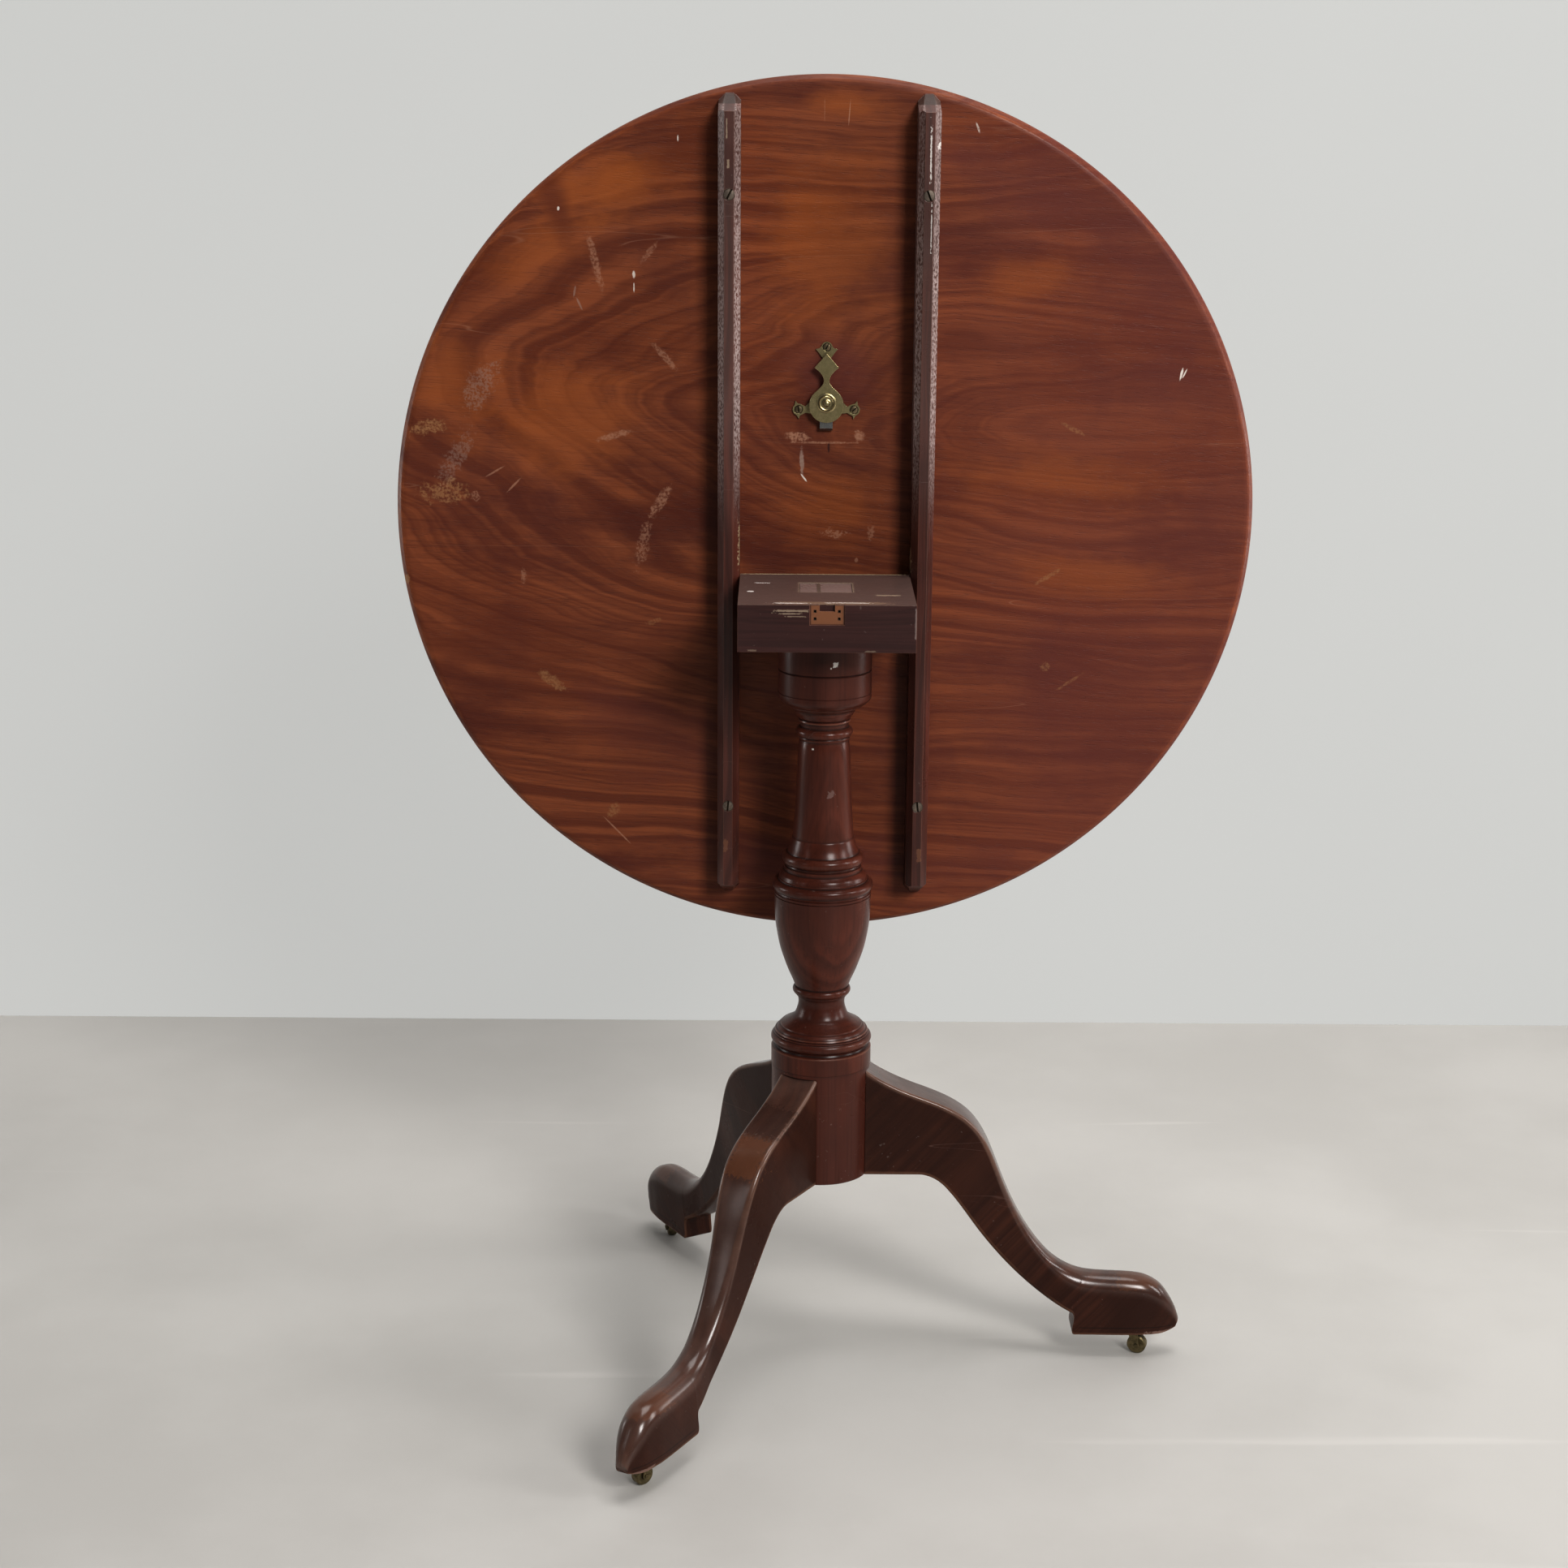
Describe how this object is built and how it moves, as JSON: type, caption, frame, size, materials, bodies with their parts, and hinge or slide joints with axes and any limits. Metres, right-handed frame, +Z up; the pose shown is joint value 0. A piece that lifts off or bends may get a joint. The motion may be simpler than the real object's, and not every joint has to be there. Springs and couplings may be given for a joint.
{
  "type": "tilt top table",
  "caption": "Round-topped pedestal table whose top tilts upright on its block; turned pillar, three scrolled legs with slipper feet on small castors, brass spring catch.",
  "frame": {"origin": "on the floor, under the axis of the pillar", "axes": "+Z up; the top, tilted upright at rest, looks to +Y with its upper face and to -Y with its underside; the pivot axis is along X"},
  "size_m": [0.75, 0.572, 1.1295],
  "materials": {
    "top_mahogany": "old figured mahogany, thin worn polish, satin",
    "dark_mahogany": "dark polished mahogany, glossy on the turning and legs, dull on the block and bearers",
    "aged_brass": "olive patina, worn brighter on raised edges",
    "worn_iron": "dull grey iron, slightly rusted"
  },
  "bodies": {
    "base": {"pillar": "dark_mahogany", "block": "dark_mahogany", "tenon_wedge": "dark_mahogany", "leg_right": "dark_mahogany", "leg_back": "dark_mahogany", "leg_front": "dark_mahogany", "iron_plate": "worn_iron", "iron_plate_nail_1": "worn_iron", "iron_plate_nail_2": "worn_iron", "iron_plate_nail_3": "worn_iron", "iron_plate_nail_4": "worn_iron", "iron_plate_nail_5": "worn_iron", "iron_plate_nail_6": "worn_iron", "castor_right_plate": "aged_brass", "castor_back_plate": "aged_brass", "castor_front_plate": "aged_brass"},
    "top": {"top_board": "top_mahogany", "bearer_left": "dark_mahogany", "bearer_right": "dark_mahogany", "bearer_screw_1": "worn_iron", "bearer_screw_2": "worn_iron", "bearer_screw_3": "worn_iron", "bearer_screw_4": "worn_iron", "catch_plate": "aged_brass", "catch_stud": "aged_brass", "catch_spring": "worn_iron", "catch_screw_left": "worn_iron", "catch_screw_right": "worn_iron", "catch_screw_upper": "worn_iron"},
    "catch_lever": {"catch_lever": "aged_brass"},
    "catch_bolt": {"catch_bolt": "worn_iron"},
    "castor_right_fork": {"castor_right_fork": "aged_brass", "castor_right_axle": "worn_iron"},
    "castor_right_wheel": {"castor_right_wheel": "aged_brass"},
    "castor_back_fork": {"castor_back_fork": "aged_brass", "castor_back_axle": "worn_iron"},
    "castor_back_wheel": {"castor_back_wheel": "aged_brass"},
    "castor_front_fork": {"castor_front_fork": "aged_brass", "castor_front_axle": "worn_iron"},
    "castor_front_wheel": {"castor_front_wheel": "aged_brass"}
  },
  "joints": [
    {"name": "top_tilt", "type": "hinge", "parent": "base", "child": "top", "pos_m": [0, 0.0635, 0.6895], "axis": [1, 0, 0], "range_deg": [0, 90]},
    {"name": "catch_lever_turn", "type": "hinge", "parent": "top", "child": "catch_lever", "pos_m": [0, 0.0745, 0.8542], "axis": [0, -1, 0], "range_deg": [0, 40], "stiffness_Nm_per_rad": 0.05, "springref_deg": -11.46},
    {"name": "catch_bolt_slide", "type": "slide", "parent": "top", "child": "catch_bolt", "axis": [0, 0, 1], "range_m": [0, 0.0053], "deforming": ["catch_spring"]},
    {"name": "castor_right_swivel", "type": "hinge", "parent": "base", "child": "castor_right_fork", "pos_m": [0.284, 0, 0.022], "axis": [0, 0, 1], "continuous": true},
    {"name": "castor_right_roll", "type": "hinge", "parent": "castor_right_fork", "child": "castor_right_wheel", "pos_m": [0.29152, -0.00274, 0.0087], "axis": [0.342, 0.9397, 0], "continuous": true},
    {"name": "castor_back_swivel", "type": "hinge", "parent": "base", "child": "castor_back_fork", "pos_m": [-0.142, 0.24595, 0.022], "axis": [0, 0, 1], "continuous": true},
    {"name": "castor_back_roll", "type": "hinge", "parent": "castor_back_fork", "child": "castor_back_wheel", "pos_m": [-0.14339, 0.25383, 0.0087], "axis": [-0.9848, -0.1736, 0], "continuous": true},
    {"name": "castor_front_swivel", "type": "hinge", "parent": "base", "child": "castor_front_fork", "pos_m": [-0.142, -0.24595, 0.022], "axis": [0, 0, 1], "continuous": true},
    {"name": "castor_front_roll", "type": "hinge", "parent": "castor_front_fork", "child": "castor_front_wheel", "pos_m": [-0.14813, -0.25109, 0.0087], "axis": [0.6428, -0.766, 0], "continuous": true}
  ],
  "couplings": [
    {"joint": "catch_bolt_slide", "follows": "catch_lever_turn", "m_per_rad": 0.0075}
  ]
}
